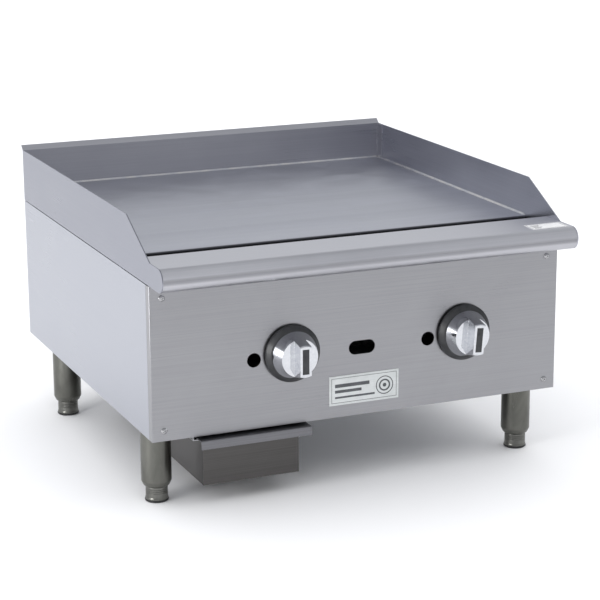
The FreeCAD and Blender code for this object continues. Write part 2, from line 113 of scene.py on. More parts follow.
def add_lathe(bm, outline, place, segments=64):
    """Turns (radius, height) points about Z, then moves the result by a matrix."""
    rings = []
    for radius, height in outline:
        if radius < 1e-6:
            rings.append([bm.verts.new(place @ Vector((0, 0, height)))])
            continue
        angles = (2 * math.pi * k / segments for k in range(segments))
        rings.append([bm.verts.new(place @ Vector((radius * math.cos(a), radius * math.sin(a), height)))
                      for a in angles])
    for low, high in zip(rings, rings[1:]):
        for k in range(segments):
            n = (k + 1) % segments
            quad = [low[k % len(low)], low[n % len(low)], high[n % len(high)], high[k % len(high)]]
            corners = list(dict.fromkeys(quad))
            if len(corners) > 2:
                bm.faces.new(corners)


def add_box(bm, low, high, bevel=0.0, steps=2):
    """A box between two corners, with its edges rounded."""
    low, high = Vector(low), Vector(high)
    place = Matrix.Translation((low + high) / 2) @ Matrix.Diagonal((*(high - low), 1))
    made = bmesh.ops.create_cube(bm, size=1, matrix=place)["verts"]
    if bevel:
        edges = list(dict.fromkeys(e for v in made for e in v.link_edges))
        bmesh.ops.bevel(bm, geom=edges, offset=bevel, segments=steps, affect="EDGES", profile=0.5)


def add_strip(bm, rings):
    """Skins a list of rings of points; each ring is a closed loop, and the ends are capped."""
    made = [[bm.verts.new(p) for p in ring] for ring in rings]
    count = len(made[0])
    for here, there in zip(made, made[1:]):
        for k in range(count):
            n = (k + 1) % count
            bm.faces.new((here[k], here[n], there[n], there[k]))
    bm.faces.new(made[0][::-1])
    bm.faces.new(made[-1])


def bevel_sharp(bm, offset, steps, angle):
    """Rounds every edge that turns by more than the angle."""
    limit = math.radians(angle)
    edges = [e for e in bm.edges if len(e.link_faces) == 2 and e.calc_face_angle(0) > limit]
    bmesh.ops.bevel(bm, geom=edges, offset=offset, segments=steps, affect="EDGES", profile=0.5,
                    clamp_overlap=True)


FACING_FRONT = Matrix.Rotation(math.radians(90), 4, "X")     # local +Z points to -Y
FACING_BACK = Matrix.Rotation(math.radians(-90), 4, "X")     # local +Z points to +Y


# ------------------------------------------------------------------ materials

class Paint:
    """A principled material with helpers for its procedural nodes."""

    def __init__(self, name, metallic, **values):
        self.material = bpy.data.materials.new(name)
        self.material.use_nodes = True
        self.tree = self.material.node_tree
        self.tree.nodes.clear()
        self.shader = self.add("ShaderNodeBsdfPrincipled")
        output = self.add("ShaderNodeOutputMaterial")
        self.link(self.shader.outputs["BSDF"], output.inputs["Surface"])
        self.place = self.add("ShaderNodeTexCoord").outputs["Object"]
        self.shader.inputs["Metallic"].default_value = metallic
        for socket, value in values.items():
            self.shader.inputs[socket.replace("_", " ")].default_value = value

    def add(self, kind, **settings):
        node = self.tree.nodes.new(kind)
        for key, value in settings.items():
            setattr(node, key, value)
        return node

    def link(self, source, target):
        self.tree.links.new(source, target)

    def stretched(self, scale):
        mapping = self.add("ShaderNodeMapping")
        mapping.inputs["Scale"].default_value = scale
        self.link(self.place, mapping.inputs["Vector"])
        return mapping.outputs["Vector"]

    def noise(self, scale, detail=3.0, rough=0.55, distortion=0.0):
        node = self.add("ShaderNodeTexNoise")
        node.inputs["Scale"].default_value = 1.0
        node.inputs["Detail"].default_value = detail
        node.inputs["Roughness"].default_value = rough
        node.inputs["Distortion"].default_value = distortion
        self.link(self.stretched(scale), node.inputs["Vector"])
        return node.outputs["Fac"]

    def cells(self, scale):
        node = self.add("ShaderNodeTexVoronoi", feature="F1")
        node.inputs["Scale"].default_value = 1.0
        self.link(self.stretched(scale), node.inputs["Vector"])
        return node.outputs["Color"]

    def levels(self, value, low, high, start=0.3, end=0.7):
        """Maps start..end to low..high, and holds the ends."""
        node = self.add("ShaderNodeMapRange")
        node.inputs["From Min"].default_value = start
        node.inputs["From Max"].default_value = end
        node.inputs["To Min"].default_value = low
        node.inputs["To Max"].default_value = high
        self.link(value, node.inputs["Value"])
        return node.outputs["Result"]

    def math(self, operation, first, second):
        node = self.add("ShaderNodeMath", operation=operation)
        for socket, value in zip(node.inputs, (first, second)):
            if isinstance(value, (int, float)):
                socket.default_value = value
            else:
                self.link(value, socket)
        return node.outputs["Value"]

    def blend(self, factor, first, second):
        node = self.add("ShaderNodeMix", data_type="RGBA")
        self.link(factor, node.inputs["Factor"])
        for socket, value in ((node.inputs["A"], first), (node.inputs["B"], second)):
            socket = [s for s in node.inputs if s.name == socket.name and s.type == "RGBA"][0]
            if isinstance(value, tuple):
                socket.default_value = (*value, 1)
            else:
                self.link(value, socket)
        return [s for s in node.outputs if s.type == "RGBA"][0]

    def colour(self, value):
        self.link(value, self.shader.inputs["Base Color"])

    def roughness(self, value):
        self.link(value, self.shader.inputs["Roughness"])

    def bump(self, height, strength, distance):
        """Adds a bump on top of the bumps already there."""
        node = self.add("ShaderNodeBump")
        node.inputs["Strength"].default_value = strength
        node.inputs["Distance"].default_value = distance
        self.link(height, node.inputs["Height"])
        last = self.shader.inputs["Normal"]
        if last.is_linked:
            self.link(last.links[0].from_socket, node.inputs["Normal"])
        self.link(node.outputs["Normal"], last)

    def facing(self, axis):
        """Component of the surface direction along one axis."""
        normal = self.add("ShaderNodeSeparateXYZ")
        self.link(self.add("ShaderNodeNewGeometry").outputs["Normal"], normal.inputs["Vector"])
        return normal.outputs[axis]

    def worn_edge(self, radius):
        """1 near an edge and 0 away from it."""
        bevel = self.add("ShaderNodeBevel", samples=4)
        bevel.inputs["Radius"].default_value = radius
        geometry = self.add("ShaderNodeNewGeometry")
        dot = self.add("ShaderNodeVectorMath", operation="DOT_PRODUCT")
        self.link(bevel.outputs["Normal"], dot.inputs[0])
        self.link(geometry.outputs["Normal"], dot.inputs[1])
        return self.levels(dot.outputs["Value"], 1.0, 0.0, 0.75, 0.985)


GRAIN = {"x": (5, 950, 950), "y": (950, 5, 950), "z": (950, 950, 5)}
FINE = {"x": (14, 2600, 2600), "y": (2600, 14, 2600), "z": (2600, 2600, 14)}


def brushed(name, along, dark, light, smooth=0.26, rough=0.40, painted_nose_shade=None):
    """Sheet steel with a brushed grain and bright edges; a nose tone, if given, is painted shade on the
    sideways-facing band of a bullnose.
    """
    paint = Paint(name, 1.0)
    grain = paint.noise(GRAIN[along], detail=2.0)
    fine = paint.noise(FINE[along], detail=1.0)
    cloud = paint.noise((5, 5, 7), detail=4.0, distortion=0.6)
    tone = paint.math("ADD", paint.math("MULTIPLY", grain, 0.45), paint.math("MULTIPLY", cloud, 0.55))
    shade = paint.blend(paint.levels(tone, 0, 1, 0.36, 0.64), dark, light)
    if painted_nose_shade:
        # Painted shade: where the surface faces sideways the nose tone replaces the steel's tone; where it
        # faces down a little under half of the nose tone stays.
        upward = paint.facing("Z")
        above = paint.levels(upward, 0.0, 1.0, 0.06, 0.24)
        below = paint.levels(upward, 0.55, 0.0, -0.36, -0.14)
        shade = paint.blend(paint.math("MAXIMUM", above, below), painted_nose_shade, shade)
    edge = paint.math("MULTIPLY", paint.worn_edge(0.0012), paint.levels(fine, 0.25, 0.9))
    shade = paint.blend(edge, shade, tuple(min(1.0, c * 1.25) for c in light))
    paint.colour(shade)
    gloss = paint.math("ADD", paint.math("MULTIPLY", grain, 0.5), paint.math("MULTIPLY", cloud, 0.5))
    paint.roughness(paint.levels(gloss, smooth, rough, 0.34, 0.66))
    paint.bump(grain, 0.20, 0.00005)
    paint.bump(fine, 0.12, 0.00002)
    return paint.material


def ground_plate():
    """Griddle plate: ground with long fine lines, cloudy where it was oiled, with its front face darkened as
    painted shade.
    """
    paint = Paint("ground_plate", 1.0)
    lines = paint.noise((4, 1400, 60), detail=3.0, rough=0.7)
    passes = paint.noise((0.6, 34, 1), detail=1.0)
    cloud = paint.noise((7, 9, 5), detail=6.0, distortion=1.2)
    tone = paint.math("ADD", paint.math("MULTIPLY", lines, 0.4), paint.math("MULTIPLY", cloud, 0.6))
    ground = paint.blend(paint.levels(tone, 0, 1, 0.35, 0.65), (0.47, 0.48, 0.53), (0.60, 0.61, 0.67))
    # Painted shade: faces that look to the front are blended to a near-black tone, standing in for the shade
    # in the grease trough.
    painted_shade_front = paint.levels(paint.facing("Y"), 1.0, 0.0, -0.75, -0.25)
    paint.colour(paint.blend(painted_shade_front, ground, (0.09, 0.09, 0.10)))
    gloss = paint.math("ADD", paint.math("MULTIPLY", passes, 0.4), paint.math("MULTIPLY", cloud, 0.6))
    paint.roughness(paint.levels(gloss, 0.30, 0.46, 0.34, 0.66))
    paint.bump(lines, 0.25, 0.00005)
    paint.bump(cloud, 0.10, 0.0006)
    return paint.material


def weld_metal():
    """Weld metal, wire brushed, with a faint straw and blue heat tint."""
    paint = Paint("weld_metal", 1.0)
    patches = paint.noise((55, 55, 55), detail=3.0)
    grit = paint.noise((1500, 1500, 1500), detail=2.0)
    tint = paint.blend(paint.levels(patches, 0, 1, 0.4, 0.6), (0.62, 0.61, 0.61), (0.50, 0.51, 0.55))
    paint.colour(tint)
    paint.roughness(paint.levels(grit, 0.22, 0.42))
    paint.bump(grit, 0.3, 0.0001)
    return paint.material


def galvanised():
    """Galvanised sheet with a soft spangle."""
    paint = Paint("galvanised", 1.0)
    spangle = paint.cells((120, 120, 120))
    grey = paint.add("ShaderNodeRGBToBW")
    paint.link(spangle, grey.inputs["Color"])
    dust = paint.noise((14, 14, 14), detail=5.0)
    facets = paint.levels(grey.outputs["Val"], 0, 1, 0.2, 0.8)
    shade = paint.blend(facets, (0.42, 0.43, 0.45), (0.56, 0.57, 0.59))
    paint.colour(paint.blend(paint.levels(dust, 0, 0.35, 0.45, 0.75), shade, (0.36, 0.35, 0.33)))
    paint.roughness(paint.levels(grey.outputs["Val"], 0.34, 0.52, 0.2, 0.8))
    paint.bump(paint.noise((900, 900, 900)), 0.12, 0.00005)
    return paint.material


def mill_steel(name, dark, light, scale, rough):
    """Plain formed steel: uneven tone and a fine pitted skin."""
    paint = Paint(name, 1.0)
    patches = paint.noise((scale, scale, scale), detail=6.0, distortion=0.8)
    pits = paint.noise((1400, 1400, 1400), detail=2.0)
    paint.colour(paint.blend(paint.levels(patches, 0, 1), dark, light))
    paint.roughness(paint.levels(patches, rough, rough + 0.16))
    paint.bump(pits, 0.25, 0.00008)
    return paint.material


def painted_pipe():
    """Black pipe: lacquer over rolled steel, rubbed through a little."""
    paint = Paint("black_pipe", 0.0, Specular_IOR_Level=0.5)
    scale = paint.noise((60, 60, 60), detail=6.0)
    skin = paint.noise((700, 700, 700), detail=3.0)
    rubbed = paint.levels(scale, 0, 1, 0.55, 0.75)
    paint.colour(paint.blend(rubbed, (0.018, 0.018, 0.02), (0.09, 0.085, 0.08)))
    paint.roughness(paint.levels(scale, 0.35, 0.6))
    paint.bump(skin, 0.35, 0.0002)
    return paint.material


def turned_metal(name, dark, light, smooth, rough):
    """Turned or drawn bar: rings along the height and a soft satin gloss."""
    paint = Paint(name, 1.0)
    rings = paint.noise((30, 30, 2200), detail=2.0)
    stains = paint.noise((38, 38, 16), detail=5.0, distortion=0.5)
    shade = paint.blend(paint.levels(stains, 0, 1, 0.36, 0.64), dark, light)
    edge = paint.math("MULTIPLY", paint.worn_edge(0.0008), 0.5)
    paint.colour(paint.blend(edge, shade, tuple(min(1.0, c * 1.5) for c in light)))
    paint.roughness(paint.levels(stains, smooth, rough))
    paint.bump(rings, 0.16, 0.00004)
    return paint.material


def chrome():
    """Chrome plate over a polished casting, with very slight waves and finger marks."""
    paint = Paint("knob_chrome", 1.0)
    waves = paint.noise((90, 90, 90), detail=1.0)
    smears = paint.noise((160, 160, 260), detail=5.0, distortion=1.0)
    paint.colour(paint.blend(paint.levels(smears, 0, 1), (0.58, 0.59, 0.62), (0.68, 0.69, 0.71)))
    paint.roughness(paint.levels(smears, 0.035, 0.12, 0.4, 0.75))
    paint.bump(waves, 0.06, 0.0006)
    return paint.material


def black_plastic(name, dark, light, smooth):
    """Black moulding with a fine texture and a little dust."""
    paint = Paint(name, 0.0, Specular_IOR_Level=0.5)
    grain = paint.noise((1800, 1800, 240), detail=2.0)
    dust = paint.noise((120, 120, 120), detail=5.0)
    paint.colour(paint.blend(paint.levels(dust, 0, 1), dark, light))
    paint.roughness(paint.levels(grain, smooth, smooth + 0.16))
    paint.bump(grain, 0.25, 0.00006)
    return paint.material


def printed(name, low, high, rough, metallic):
    """A thin printed or anodised surface with a faint grain."""
    paint = Paint(name, metallic)
    grain = paint.noise((12, 1500, 1500), detail=2.0)
    cloud = paint.noise((60, 60, 60), detail=4.0)
    tone = paint.math("ADD", paint.math("MULTIPLY", grain, 0.5), paint.math("MULTIPLY", cloud, 0.5))
    paint.colour(paint.blend(paint.levels(tone, 0, 1, 0.38, 0.62), low, high))
    paint.roughness(paint.levels(cloud, rough, rough + 0.14))
    paint.bump(grain, 0.15, 0.00003)
    return paint.material


# One brushed stainless, given a separate tone on each surface as painted light and shade: the front panel
# (with the grease trough) and the left splash darkened as painted shade, the right splash lighter than the
# left as painted light, and the rail, side panels and back splash each at a tone of their own; the rail also
# carries a painted nose shade.
PANEL_STEEL_PAINTED_SHADE = brushed("panel_steel_painted_shade", "x", (0.29, 0.29, 0.303), (0.345, 0.345, 0.36))
RAIL_STEEL = brushed("rail_steel", "x", (0.59, 0.59, 0.63), (0.67, 0.67, 0.71), 0.31, 0.43,
                     painted_nose_shade=(0.30, 0.30, 0.32))
SIDE_STEEL = brushed("side_steel", "y", (0.40, 0.412, 0.455), (0.445, 0.458, 0.502))
SPLASH_LEFT_PAINTED_SHADE = brushed("splash_steel", "y", (0.27, 0.278, 0.32), (0.315, 0.323, 0.368))
BACK_STEEL = brushed("back_steel", "x", (0.455, 0.455, 0.495), (0.52, 0.52, 0.56))
SPLASH_RIGHT_PAINTED_LIGHT = brushed("splash_right_painted_light", "y", (0.45, 0.458, 0.515), (0.52, 0.528, 0.585))
PLATE = ground_plate()
WELD = weld_metal()
GALVANISED = galvanised()
BURNER = mill_steel("burner_steel", (0.30, 0.29, 0.27), (0.46, 0.45, 0.42), 24, 0.42)
PIPE = painted_pipe()
VALVE = mill_steel("valve_body", (0.50, 0.50, 0.51), (0.64, 0.64, 0.65), 60, 0.38)
BRASS = mill_steel("brass", (0.58, 0.42, 0.18), (0.74, 0.56, 0.27), 80, 0.24)
TUBE = turned_metal("tube_steel", (0.56, 0.56, 0.58), (0.70, 0.70, 0.72), 0.22, 0.34)
FASTENER = turned_metal("fastener", (0.36, 0.36, 0.37), (0.46, 0.46, 0.47), 0.10, 0.20)
# Painted shade: leg barrels and feet are given a much darker steel tone, standing in for the shade under the
# griddle.
LEG_PAINTED_SHADE = turned_metal("leg_steel", (0.12, 0.12, 0.108), (0.17, 0.17, 0.154), 0.26, 0.38)
FOOT_PAINTED_SHADE = turned_metal("foot_steel", (0.13, 0.13, 0.12), (0.20, 0.20, 0.185), 0.26, 0.40)
CHROME = chrome()
GLIDE = black_plastic("foot_glide", (0.010, 0.010, 0.011), (0.025, 0.025, 0.027), 0.40)
BLACK = black_plastic("knob_black", (0.012, 0.013, 0.015), (0.035, 0.037, 0.04), 0.26)
# Painted shade: the drawer is given a very dark steel tone for the shade under the rail; its pull lip is
# darkened less, as painted light where its bent face catches light.
DRAWER_PAINTED_SHADE = brushed("drawer_steel", "x", (0.085, 0.081, 0.079), (0.12, 0.116, 0.113), 0.34, 0.48)
DRAWER_LIP_PAINTED_SHADE = brushed("drawer_lip_painted_shade", "x", (0.16, 0.16, 0.17), (0.22, 0.22, 0.235), 0.30, 0.42)
SKIRT = black_plastic("knob_skirt", (0.016, 0.0165, 0.018), (0.032, 0.033, 0.036), 0.30)
BADGE = printed("name_plate", (0.58, 0.60, 0.60), (0.68, 0.70, 0.70), 0.34, 0.40)
BADGE_INK = printed("name_plate_ink", (0.05, 0.055, 0.06), (0.10, 0.105, 0.115), 0.35, 0.0)
PAPER = printed("label_paper", (0.58, 0.58, 0.59), (0.66, 0.66, 0.67), 0.45, 0.0)
PAPER_INK = printed("label_ink", (0.10, 0.10, 0.11), (0.16, 0.16, 0.17), 0.5, 0.0)


# ------------------------------------------------------------------ pieces

BOLT_R = 4.75         # bolt that holds a leg
BORE_R = 8.1          # bore of the barrel
STEM_R = 7.9          # foot stem over its thread
THREAD_PITCH, THREAD_DEPTH = 2.0, 0.9
GROOVES, GROOVE_PITCH = 3, 2.6


def legs():
    """Leg barrels with a rounded shoulder, and threaded feet that stand on black glides."""
    under = span("side_panel_left")[0].z
    for corner in CORNERS:
        low, high = span("leg_" + corner)
        centre = middle("leg_" + corner)
        place = Matrix.Translation((centre.x, centre.y, 0))
        radius = (high.x - low.x) / 2
        end = low.z
        outline = rounded([
            (0, high.z), (BOLT_R, high.z, 0.6), (BOLT_R, under, 0), (radius, under, 0.5),
            (radius, end + 7.6, 3.5), (radius - 2.8, end + 1.6, 1.2), (radius - 5.0, end, 0.6),
            (BORE_R, end, 0), (BORE_R, end + 22, 0), (17, end + 22, 0), (17, under - 4, 0), (0, under - 4, 0),
        ], 6)
        bm = bmesh.new()
        add_lathe(bm, outline, place, 72)
        finish_mesh("leg_barrel_" + corner, bm, "casing", LEG_PAINTED_SHADE, ["leg_" + corner])

        foot_low, foot_high = span("foot_" + corner)
        wide = (foot_high.x - foot_low.x) / 2
        ground = foot_low.z
        shoulder = end - 0.4
        root = STEM_R - THREAD_DEPTH
        profile = [(0, foot_high.z), (STEM_R - 1.6, foot_high.z, 0), (STEM_R - 0.6, foot_high.z - 1.2, 0)]
        z = foot_high.z - THREAD_PITCH
        while z > shoulder + 3.2:
            profile += [(STEM_R, z, 0), (STEM_R, z - 0.25, 0), (root, z - 1.0, 0), (root, z - 1.25, 0)]
            z -= THREAD_PITCH
        neck = wide - 1.2
        profile += [(root, shoulder, 0), (neck, shoulder, 0.5)]
        for k in range(GROOVES):
            z = shoulder - 3.0 - GROOVE_PITCH * k
            profile += [(neck, z, 0.2), (neck - 0.5, z - 0.5, 0.2), (neck, z - 1.0, 0.2)]
        profile += [
            (neck, ground + 6.6, 0.8), (wide - 0.7, ground + 5.2, 0.4), (wide - 0.7, ground + 3.2, 0.3),
            (0, ground + 3.2),
        ]
        bm = bmesh.new()
        add_lathe(bm, rounded(profile, 3), place, 64)
        finish_mesh("foot_pad_" + corner, bm, "level_" + corner, FOOT_PAINTED_SHADE, ["foot_" + corner])

        glide = rounded([
            (wide - 4.6, ground + 3.1), (wide - 0.9, ground + 3.1, 0.2), (wide, ground + 2.6, 0.5),
            (wide, ground + 1.2, 0.9), (wide - 1.4, ground, 0.3), (wide - 4, ground, 0.2),
            (wide - 4.6, ground + 1, 0.2), (wide - 4.6, ground + 3.1),
        ], 4)
        bm = bmesh.new()
        add_lathe(bm, glide, place, 64)
        finish_mesh("foot_glide_" + corner, bm, "level_" + corner, GLIDE)


RECESS_HALF, RECESS_ARM = 0.45, 2.3      # cross recess of a screw


def cross_head():
    """Mesh of one pan head with its shank and a cross recess, in millimetres, head along +Z."""
    parts = []
    for cutter in (False, True):
        bm = bmesh.new()
        if cutter:
            half, arm = RECESS_HALF, RECESS_ARM
            cross = [(half, arm), (half, half), (arm, half), (arm, -half), (half, -half), (half, -arm),
                     (-half, -arm), (-half, -half), (-arm, -half), (-arm, half), (-half, half), (-half, arm)]
            add_strip(bm, [[Vector((x * size, y * size, z)) for x, y in cross]
                           for size, z in ((0.55, 0.9), (1.05, 2.6))])
        else:
            outline = rounded([
                (0, -8), (2.0, -8, 0), (2.3, -7, 0), (2.3, 0.05, 0), (4.4, 0.05, 0.2), (4.4, 0.7, 1.2),
                (2.6, 2.15, 1.6), (0.5, 2.3), (0, 2.3),
            ], 5)
            add_lathe(bm, outline, Matrix.Identity(4), 40)
        close_up(bm)
        mesh = bpy.data.meshes.new("screw_part")
        bm.to_mesh(mesh)
        bm.free()
        part = bpy.data.objects.new("screw_part", mesh)
        scene.collection.objects.link(part)
        parts.append(part)
    recess = parts[0].modifiers.new("recess", "BOOLEAN")
    recess.operation = "DIFFERENCE"
    recess.solver = "EXACT"
    recess.object = parts[1]
    shape = bpy.data.meshes.new_from_object(parts[0].evaluated_get(bpy.context.evaluated_depsgraph_get()))
    for part in parts:
        bpy.data.objects.remove(part)
    return shape


def screw_heads():
    """A cross-recess pan head on every screw of the two groups."""
    head = cross_head()
    for group, facing, sheet in (("front_screws", FACING_FRONT, "front_panel"),
                                 ("rear_screws", FACING_BACK, "rear_panel")):
        low, high = span(sheet)
        face = low.y if facing is FACING_FRONT else high.y
        bm = bmesh.new()
        for number, (x, z) in enumerate(sorted(island_centres(group))):
            spin = Matrix.Rotation(0.5 + 1.1 * number, 4, "Z")
            place = Matrix.Translation((x, face, z)) @ facing @ spin
            before = len(bm.verts)
            bm.from_mesh(head)
            bm.verts.ensure_lookup_table()
            bmesh.ops.transform(bm, matrix=place, verts=bm.verts[before:])
        finish_mesh(group[:-1] + "_heads", bm, "casing", FASTENER, [group])


def island_centres(node):
    """Middle (x, z) of every separate solid in a CAD node, in millimetres."""
    bm = bmesh.new()
    bm.from_mesh(nodes[node].data)
    bmesh.ops.remove_doubles(bm, verts=bm.verts, dist=1e-6)
    centres = []
    left = set(bm.verts)
    for first in bm.verts:
        if first not in left:
            continue
        left.remove(first)
        stack = [first]
        island = [first]
        while stack:
            for edge in stack.pop().link_edges:
                for vertex in edge.verts:
                    if vertex in left:
                        left.remove(vertex)
                        stack.append(vertex)
                        island.append(vertex)
        xs = [v.co.x / MM for v in island]
        zs = [v.co.z / MM for v in island]
        centres.append(((min(xs) + max(xs)) / 2, (min(zs) + max(zs)) / 2))
    bm.free()
    return centres


KNOB_TILT = {"left": 0.0, "right": 4.5}
SHELF = 30.0          # panel face to the shelves beside the grip bar
GRIP_HALF = 8.1       # half the grip bar's width
INLAY_HALF = (4.8, 17.3)


def knobs():
    """Black flared skirt, chrome body cut down to a shelf on both sides of the grip bar, black inlay."""
    for side in SIDES:
        centre = middle("valve_stem_" + side)
        face = span("front_panel")[0].y
        depth = face - span("knob_" + side)[0].y
        turn = Matrix.Rotation(math.radians(KNOB_TILT[side]), 4, "Y")
        place = Matrix.Translation((centre.x, face, centre.z)) @ turn @ FACING_FRONT
        body = "knob_" + side

        skirt = rounded([
            (30.6, 10), (36, 2.5, 0.3), (39.4, 2.5, 0.3), (40, 3.2, 0.3), (40, 5.0, 1.0), (39.2, 6.6, 1.2),
            (34.8, 11.4, 2.5), (33.4, 12.4, 0.5), (29.6, 12.4, 0.2), (30.6, 10),
        ], 5)
        bm = bmesh.new()
        add_lathe(bm, skirt, place, 128)
        finish_mesh("knob_ring_" + side, bm, body, SKIRT, ["knob_skirt_" + side], 40)

        bm = bmesh.new()
        grip_body(bm, depth)
        bm.transform(place)
        finish_mesh("knob_body_" + side, bm, body, CHROME, ["knob_" + side], 40)

        bm = bmesh.new()
        half_x, half_y = INLAY_HALF
        add_box(bm, (-half_x, -half_y, depth - 0.95), (half_x, half_y, depth + 0.3), 0.3, 3)
        bm.transform(place)
        finish_mesh("knob_inlay_" + side, bm, body, BLACK, ["knob_insert_" + side])


def grip_body(bm, depth):
    """Tapered round body; above the shelf only the bar between the two side cuts is left."""
    outline = rounded([
        (0, 12.6), (32.6, 12.6, 0.3), (32.9, 13.2, 0.4), (26.2, SHELF, 0), (22.6, depth - 1.6, 1.4),
        (21.4, depth, 1.0), (0, depth),
    ], 6)
    add_lathe(bm, outline, Matrix.Identity(4), 128)
    cuts = (((GRIP_HALF, 0, 0), (1, 0, 0)), ((-GRIP_HALF, 0, 0), (1, 0, 0)), ((0, 0, SHELF), (0, 0, 1)))
    for point, normal in cuts:
        geometry = bm.verts[:] + bm.edges[:] + bm.faces[:]
        bmesh.ops.bisect_plane(bm, geom=geometry, dist=1e-4, plane_co=point, plane_no=normal)

    def outside(face):
        spot = face.calc_center_median()
        return abs(spot.x) > GRIP_HALF and spot.z > SHELF

    bmesh.ops.delete(bm, geom=[f for f in bm.faces if outside(f)], context="FACES")
    for way in (-1, 1):
        rim = [e for e in bm.edges
               if len(e.link_faces) == 1 and way * (e.verts[0].co.x + e.verts[1].co.x) > 0]
        wall = [e for e in rim if all(abs(v.co.x - way * GRIP_HALF) < 1e-3 for v in e.verts)]
        shelf = [e for e in rim if e not in wall]
        corners = dict.fromkeys(v for e in wall for v in e.verts)
        ends = [v for v in corners if sum(e in wall for e in v.link_edges) == 1]
        foot = bm.edges.new(ends)
        bmesh.ops.contextual_create(bm, geom=wall + [foot])
        bmesh.ops.contextual_create(bm, geom=shelf + [foot])
    bmesh.ops.recalc_face_normals(bm, faces=bm.faces)
    top = [f for f in bm.faces if f.normal.z > 0.99 and abs(f.calc_center_median().z - depth) < 0.1]
    bmesh.ops.dissolve_faces(bm, faces=top)
    bevel_sharp(bm, 0.7, 4, 26)


WELD_STEP = 0.9                      # distance between two sections of the weld bead
WELD_RIPPLE = 3.1
WELD_CREST, WELD_DROP = 0.64, 0.36   # the bead stops short of the groove's edge


def weld_bead():
    """Rippled fillet weld in the groove along the plate's left, rear and right edges."""
    low, high = span("plate_weld_bead")
    level = span("griddle_plate")[1].z
    wide = high.z - level
    section = [(0.0, -1.0)]
    for k in range(7):
        a = math.pi / 2 * k / 6
        reach = 1 - 0.22 * math.sin(2 * a)
        section.append((math.cos(a) * reach * WELD_CREST,
                        math.sin(a) * reach * (WELD_CREST + WELD_DROP) - WELD_DROP))

    def ripple(distance):
        phase = (distance / WELD_RIPPLE) % 1.0
        drift = 0.05 * math.sin(distance * 0.11) + 0.04 * math.sin(distance * 0.37 + 1.0)
        return 0.90 + drift * 0.6 + 0.13 * (phase ** 1.6 - 0.5)

    # one run up the left side, along the rear and down the right side, mitred at the corners
    count = int((high.y - low.y) / WELD_STEP)
    side_run = [(low.y + k * WELD_STEP, min(1.0, 0.35 + k * 0.12)) for k in range(count)]
    across = int((high.x - low.x) / WELD_STEP)
    spots = [("left", y, grow) for y, grow in side_run]
    spots += [("rear", low.x + k * WELD_STEP, 1.0) for k in range(across + 1)]
    spots += [("right", y, grow) for y, grow in reversed(side_run)]
    rings = []
    for number, (run, along, grow) in enumerate(spots):
        size = wide * ripple(number * WELD_STEP) * grow
        ring = []
        for u, v in section:
            inset, height = u * size, level + v * size
            if run == "rear":
                x = min(max(along, low.x + inset), high.x - inset)
                ring.append(Vector((x, high.y - inset, height)))
            else:
                x = low.x + inset if run == "left" else high.x - inset
                ring.append(Vector((x, min(along, high.y - inset), height)))
        rings.append(ring)
    bm = bmesh.new()
    add_strip(bm, rings)
    finish_mesh("weld_bead", bm, "casing", WELD, ["plate_weld_bead"], 60)


def badge():
    """Name plate with a raised rim and a plain pattern of bars and a ring; it carries no name."""
    low, high = span("name_plate")
    face = high.y
    front = low.y
    width = high.x - low.x
    height = high.z - low.z
    place = Matrix.Translation(((low.x + high.x) / 2, face, (low.z + high.z) / 2)) @ FACING_FRONT
    thick = face - front
    bm = bmesh.new()
    add_box(bm, (-width / 2, -height / 2, 0), (width / 2, height / 2, thick * 0.8), 0.35, 3)
    add_frame(bm, width / 2 - 0.6, height / 2 - 0.6, 1.1, thick * 0.8 - 0.05, thick)
    bm.transform(place)
    finish_mesh("badge_plate", bm, "casing", BADGE, ["name_plate"])
    bm = bmesh.new()
    ink_low, ink_high = thick * 0.8 - 0.02, thick * 0.8 + 0.10
    add_frame(bm, width / 2 - 3.2, height / 2 - 3.2, 0.6, ink_low, ink_high)
    for x0, x1, y0, y1 in ((-44, 8, 4.2, 9.2), (-44, -4, -3.6, 0.6), (-44, 16, -11.4, -8.6)):
        add_box(bm, (x0, y0, ink_low), (x1, y1, ink_high), 0.05, 1)
    ring_place = Matrix.Translation((31, 0, 0))
    for outer, inner in ((13.2, 11.9), (8.6, 6.4)):
        ring = [Vector((inner, ink_low)), Vector((outer, ink_low)), Vector((outer, ink_high)),
                Vector((inner, ink_high)), Vector((inner, ink_low))]
        add_lathe(bm, ring, ring_place, 64)
    dot = [Vector((0, ink_low)), Vector((3.0, ink_low)), Vector((3.0, ink_high)), Vector((0, ink_high))]
    add_lathe(bm, dot, ring_place, 6)
    bm.transform(place)
    finish_mesh("badge_print", bm, "casing", BADGE_INK)


def add_frame(bm, half_w, half_h, width, z0, z1):
    """A flat rectangular frame."""
    outer = [(-half_w, -half_h), (half_w, -half_h), (half_w, half_h), (-half_w, half_h)]
    inner = [(math.copysign(abs(x) - width, x), math.copysign(abs(y) - width, y)) for x, y in outer]
    sides = ((outer, z0), (outer, z1), (inner, z1), (inner, z0))
    loops = [[bm.verts.new((x, y, z)) for x, y in path] for path, z in sides]
    for here, there in zip(loops, loops[1:] + loops[:1]):
        for k in range(4):
            n = (k + 1) % 4
            bm.faces.new((here[k], here[n], there[n], there[k]))


